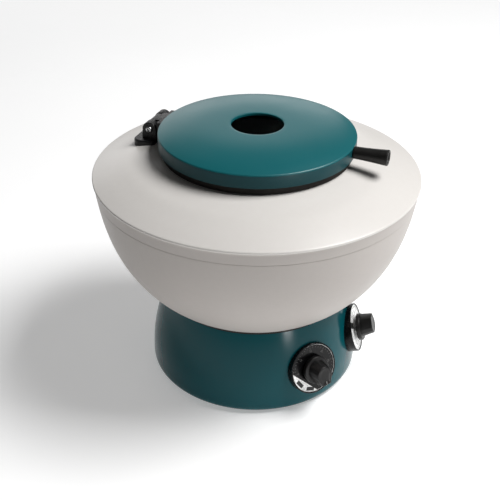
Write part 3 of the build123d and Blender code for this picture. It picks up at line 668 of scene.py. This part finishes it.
def dial_plate(kind):
    place = dial_matrix(kind)
    r = DIALS[kind][3] - 1.3
    face = -0.1
    prof = [(5.2, -0.9), (r - 0.02, -0.9), (r - 0.02, face - 0.12), (r - 0.14, face), (5.3, face), (5.2, face - 0.1)]
    obs = [turned_obj(f"{kind}_dial_face", prof, M["dial_white"], 128, place=place)]
    bm = bmesh.new()
    z0, z1 = face - 0.005, face + 0.02
    if kind == "timer":
        # Black field over most of the plate, a painted reflection of the dark surroundings in the glossy metal; a
        # bright segment with two black printed blocks is left at the lower left.
        k = 23.3 / math.sqrt(2)
        rr = r - 0.5
        half = math.acos(k / rr)
        mid = math.radians(-135)
        pts = []
        n = 72
        a0, a1 = mid + half, mid + 2 * math.pi - half
        for i in range(n + 1):
            t = a0 + (a1 - a0) * i / n
            pts.append((rr * math.cos(t), rr * math.sin(t)))
        inner = [(6.2 * math.cos(2 * math.pi * i / 40), 6.2 * math.sin(2 * math.pi * i / 40)) for i in range(40)]
        vs = [bm.verts.new((x * MM, y * MM, z1 * MM)) for x, y in pts]
        ed = [bm.edges.new((vs[i], vs[(i + 1) % len(vs)])) for i in range(len(vs))]
        vi = [bm.verts.new((x * MM, y * MM, z1 * MM)) for x, y in inner]
        ed += [bm.edges.new((vi[i], vi[(i + 1) % len(vi)])) for i in range(len(vi))]
        bmesh.ops.triangle_fill(bm, use_beauty=True, use_dissolve=False, edges=ed)
        for f in bm.faces:
            if f.normal.z < 0:
                f.normal_flip()
        me = bpy.data.meshes.new("timer_painted_reflection")
        bm.to_mesh(me)
        bm.free()
        ob = bpy.data.objects.new("timer_painted_reflection", me)
        bpy.context.scene.collection.objects.link(ob)
        me.materials.append(M["dial_black"])
        ob.matrix_world = place
        obs.append(ob)
        bm = bmesh.new()
        for a in (-148.0, -109.0):
            t = math.radians(a)
            bar(bm, 21.4 * math.cos(t), 21.4 * math.sin(t), 3.9, 9.2, a, z0, z1)
        obs.append(mesh_obj("timer_blocks", bm, M["print_black"], place=place))
        bm = bmesh.new()
        # Light minute marks on the black field.
        for i in range(31):
            a = 231.0 - 9.0 * i - 36.0 + 36.0
            a = 180.0 - 8.7 * i
            if a < -82:
                break
            t = math.radians(a)
            ln = 2.6 if i % 5 == 0 else 1.5
            bar(bm, (22.9 - ln / 2) * math.cos(t), (22.9 - ln / 2) * math.sin(t), ln, 0.35, a, z1, z1 + 0.015)
        obs.append(mesh_obj("timer_ticks", bm, M["print_dim"], place=place))
        for i, txt in enumerate(("0", "10", "20", "30", "40", "50", "60")):
            a = 180.0 - 43.5 * i
            t = math.radians(a)
            obs.append(numeral(txt, 3.2, 18.4 * math.cos(t), 18.4 * math.sin(t), a - 90, z1 + 0.01, M["print_dim"], place, f"timer_n{i}"))
    else:
        # A black bar on the plate at 141 degrees, then ticks and numerals in grey.
        t = math.radians(141)
        bar(bm, 17.6 * math.cos(t), 17.6 * math.sin(t), 12.0, 6.4, 141, z0, z1)
        obs.append(mesh_obj("speed_black_bar", bm, M["print_black"], place=place))
        bm = bmesh.new()
        for i in range(41):
            a = 126.0 - 7.0 * i
            t = math.radians(a)
            ln = 3.0 if i % 4 == 0 else 1.6
            bar(bm, (22.6 - ln / 2) * math.cos(t), (22.6 - ln / 2) * math.sin(t), ln, 0.4, a, z0, z1)
        obs.append(mesh_obj("speed_ticks", bm, M["print_grey"], place=place))
        for i in range(11):
            a = 126.0 - 28.0 * i
            t = math.radians(a)
            if i > 10 or a < -160:
                break
            obs.append(numeral(str(i), 3.4, 17.3 * math.cos(t), 17.3 * math.sin(t), a - 90, z1, M["print_grey"], place, f"speed_n{i}"))
    ob = join(obs)
    done(ob, "housing", "dial_metal", f"{kind}_dial_plate")
    return ob


for kind in DIALS:
    dial_plate(kind)


# Knobs: a round skirt with a grip drawn out to a blunt nose.
def grip_outline(r, nose, nose_w, shift, n=40):
    """Points in order round the grip, the same count at each level."""
    pts = []
    for i in range(n + 1):
        t = math.radians(60 + 240.0 * i / n)
        pts.append((shift + r * math.cos(t), r * math.sin(t)))
    a = Vector(pts[-1])
    nose_pts = [Vector((nose - 1.5, -nose_w)), Vector((nose - 0.45, -nose_w + 0.45)), Vector((nose, -nose_w + 1.5)),
                Vector((nose, nose_w - 1.5)), Vector((nose - 0.45, nose_w - 0.45)), Vector((nose - 1.5, nose_w))]
    return pts + [tuple(p) for p in nose_pts]


def knob(kind):
    place = dial_matrix(kind)
    turn = 90.0 if kind == "speed" else -84.0
    bm = bmesh.new()
    skirt = rounded([(3.0, 7.0), (14.0, 7.0), (14.0, 2.6), (8.6, 2.6), (8.6, 4.6), (3.0, 4.6)], {1: 0.9, 2: 0.4}, 5)
    revolve(bm, skirt, 96)
    levels = []
    # Finger flutes run up the round side of the grip.
    def level(u, z, inset=0.0):
        lo = grip_outline(10.6, 12.6, 6.4, 0.0)
        hi = grip_outline(8.6, 12.9, 5.2, 1.6)
        out = []
        for k, (p, q) in enumerate(zip(lo, hi)):
            x = p[0] + (q[0] - p[0]) * u
            y = p[1] + (q[1] - p[1]) * u
            cx = 1.6 * u
            d = Vector((x - cx, y))
            flute = 0.0
            if k <= 40:
                flute = 0.28 * (0.5 - 0.5 * math.cos(2 * math.pi * k / 4.0)) * (1.0 if 0.05 < u < 0.95 else 0.4)
            ln = d.length
            d = d * max(0.0, (ln - inset - flute)) / ln
            out.append(bm.verts.new(((cx + d.x) * MM, d.y * MM, z * MM)))
        return out
    hs = [(0.0, 6.6, 0.0), (0.03, 7.0, 0.0), (0.5, 12.8, 0.0), (0.92, 18.2, 0.0), (0.97, 18.75, 0.12), (0.99, 19.05, 0.4), (1.0, 19.2, 0.9), (1.0, 19.2, 2.4), (1.0, 18.95, 3.0), (1.0, 18.95, 5.5)]
    for u, z, ins in hs:
        levels.append(level(u, z, ins))
    for a, b in zip(levels, levels[1:]):
        n = len(a)
        for k in range(n):
            bm.faces.new((a[k], a[(k + 1) % n], b[(k + 1) % n], b[k]))
    bm.faces.new(levels[-1])
    bm.faces.new(levels[0][::-1])
    ob = mesh_obj(f"{kind}_knob_grip", bm, M["knob"], 38)
    bm = bmesh.new()
    # White pointer line on the nose.
    bar(bm, 10.4, 0.0, 3.4, 0.9, 0.0, 19.15, 19.2)
    line = mesh_obj(f"{kind}_line", bm, M["print_grey"])
    ob = join([ob, line])
    smooth_by_angle(ob, 38)
    ob.matrix_world = place @ Matrix.Rotation(math.radians(turn), 4, "Z")
    done(ob, f"{kind}_knob", "knob_plastic", f"{kind}_knob")
    return ob


for kind in DIALS:
    knob(kind)


# ---------------------------------------------------------- stage and light
def floor():
    """Pale round floor that fades into the surround away from the object."""
    bm = bmesh.new()
    n, r = 96, 2.6
    vs = [bm.verts.new((r * math.cos(2 * math.pi * i / n), r * math.sin(2 * math.pi * i / n), -0.0002)) for i in range(n)]
    bm.faces.new(vs)
    m = Mat("floor_white", spec=0.1)
    m.colour(m.ramp(m.noise(3.0), [(0.3, lin(0.79, 0.79, 0.79)), (0.7, lin(0.81, 0.81, 0.81))]))
    m.b.inputs["Roughness"].default_value = 0.9
    m.b.inputs["Emission Color"].default_value = (1, 1, 1, 1)
    m.b.inputs["Emission Strength"].default_value = 0.33
    far = m.node("ShaderNodeVectorMath", operation="LENGTH")
    m.link(m.co, far.inputs[0])
    m.link(m.span(far.outputs["Value"], 1.0, 0.0, 0.75, 2.3), m.b.inputs["Alpha"])
    ob = mesh_obj("floor", bm, m.m)
    return ob


floor()


def area(name, size, size_y, energy, loc, target=(0, 0, 0.17), colour=(1, 1, 1)):
    d = bpy.data.lights.new(name, "AREA")
    d.shape = "RECTANGLE"
    d.size, d.size_y = size, size_y
    d.energy = energy
    d.color = colour
    o = bpy.data.objects.new(name, d)
    bpy.context.scene.collection.objects.link(o)
    o.location = loc
    o.rotation_euler = (Vector(target) - Vector(loc)).to_track_quat("-Z", "Y").to_euler()
    o.visible_camera = False
    return o


view_r = Vector((math.cos(VIEW_AZ), math.sin(VIEW_AZ), 0))
view_f = Vector((-math.sin(VIEW_AZ), math.cos(VIEW_AZ), 0))


def rel(right, back, up):
    """Place given as right of, behind and above the object, seen from the camera."""
    v = view_r * right + view_f * back
    return (v.x, v.y, up)


area("key", 1.05, 1.05, 61.0, rel(1.18, -0.06, 1.98))
area("back", 2.6, 1.1, 12.0, rel(-0.60, 2.4, 0.75))
area("glint", 0.20, 0.06, 2.4, rel(0.786, -1.026, 0.05), target=rel(0.035, -0.092, 0.073))
world = bpy.data.worlds.new("studio")
bpy.context.scene.world = world
world.use_nodes = True
bg = world.node_tree.nodes["Background"]
bg.inputs["Color"].default_value = (1.0, 1.0, 1.0, 1)
bg.inputs["Strength"].default_value = 0.06
# Studio surround: the far wall is seen as plain pale grey, while the light on the object comes from the lamps.
wt = world.node_tree
seen = wt.nodes.new("ShaderNodeBackground")
seen.inputs["Color"].default_value = (0.93, 0.93, 0.93, 1)
seen.inputs["Strength"].default_value = 1.0
mixer = wt.nodes.new("ShaderNodeMixShader")
wt.links.new(wt.nodes.new("ShaderNodeLightPath").outputs["Is Camera Ray"], mixer.inputs[0])
wt.links.new(bg.outputs[0], mixer.inputs[1])
wt.links.new(seen.outputs[0], mixer.inputs[2])
wt.links.new(mixer.outputs[0], wt.nodes["World Output"].inputs["Surface"])
